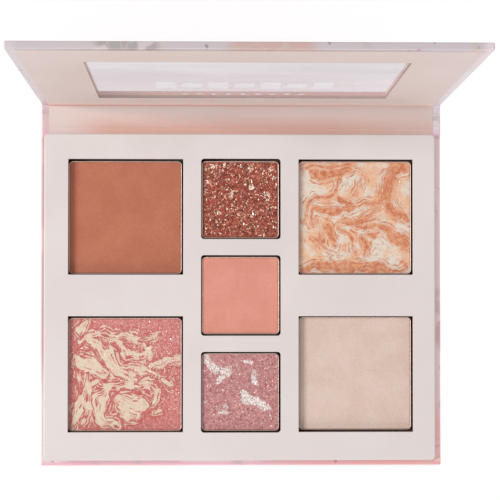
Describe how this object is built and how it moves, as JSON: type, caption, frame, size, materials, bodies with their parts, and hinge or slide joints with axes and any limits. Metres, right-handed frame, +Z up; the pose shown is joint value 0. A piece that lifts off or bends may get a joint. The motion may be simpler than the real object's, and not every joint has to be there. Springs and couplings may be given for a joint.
{
  "type": "eyeshadow palette",
  "caption": "hinged card makeup palette: board case bound in marbled paper, clear window in the lid, cream block holding square pans of pressed powder",
  "frame": {"origin": "middle of the base panel's underside, on the surface the palette lies on", "axes": "+X to the right as the pans are used, +Y towards the hinge, +Z up; at rest the spine lies flat and the lid stands two degrees past square"},
  "size_m": [0.1318, 0.1244, 0.1128],
  "materials": {
    "greyboard": "matte",
    "printed_paper": "satin",
    "liner_paper": "matte",
    "cream_paper": "matte",
    "clear_film": "gloss",
    "ink": "matte",
    "steel": "satin",
    "magnet_nickel": "polished",
    "adhesive": "matte",
    "foam": "matte",
    "pan_aluminium": "satin",
    "powder_bronzer": "matte",
    "powder_rose": "matte",
    "powder_highlighter": "matte",
    "powder_cream": "matte",
    "powder_copper": "matte",
    "powder_coral": "matte",
    "powder_mauve": "matte"
  },
  "bodies": {
    "base": {"base_board": "greyboard", "base_wrap": "printed_paper", "base_liner": "liner_paper", "block_adhesive": "adhesive", "block_bottom_card": "greyboard", "block_core": "greyboard", "block_top_card": "greyboard", "block_wrap": "cream_paper", "block_magnets": "magnet_nickel", "pan_pads": "foam", "pan_bronzer": "pan_aluminium", "pan_rose": "pan_aluminium", "pan_highlighter": "pan_aluminium", "pan_cream": "pan_aluminium", "pan_copper": "pan_aluminium", "pan_coral": "pan_aluminium", "pan_mauve": "pan_aluminium", "powder_bronzer": "powder_bronzer", "powder_rose": "powder_rose", "powder_highlighter": "powder_highlighter", "powder_cream": "powder_cream", "powder_copper": "powder_copper", "powder_coral": "powder_coral", "powder_mauve": "powder_mauve"},
    "spine": {"spine_board": "greyboard", "spine_wrap": "printed_paper", "spine_liner": "liner_paper"},
    "lid": {"lid_board": "greyboard", "lid_wrap": "printed_paper", "lid_liner": "liner_paper", "lid_discs": "steel", "window_film": "clear_film", "window_print": "ink"}
  },
  "joints": [
    {"name": "spine_fold", "type": "hinge", "parent": "base", "child": "spine", "pos_m": [0, 0.05655, 0.0011], "axis": [1, 0, 0], "range_deg": [0, 90]},
    {"name": "lid_fold", "type": "hinge", "parent": "spine", "child": "lid", "pos_m": [0, 0.0646, 0.0011], "axis": [-1, 0, 0], "range_deg": [-1.8, 88.2]}
  ]
}
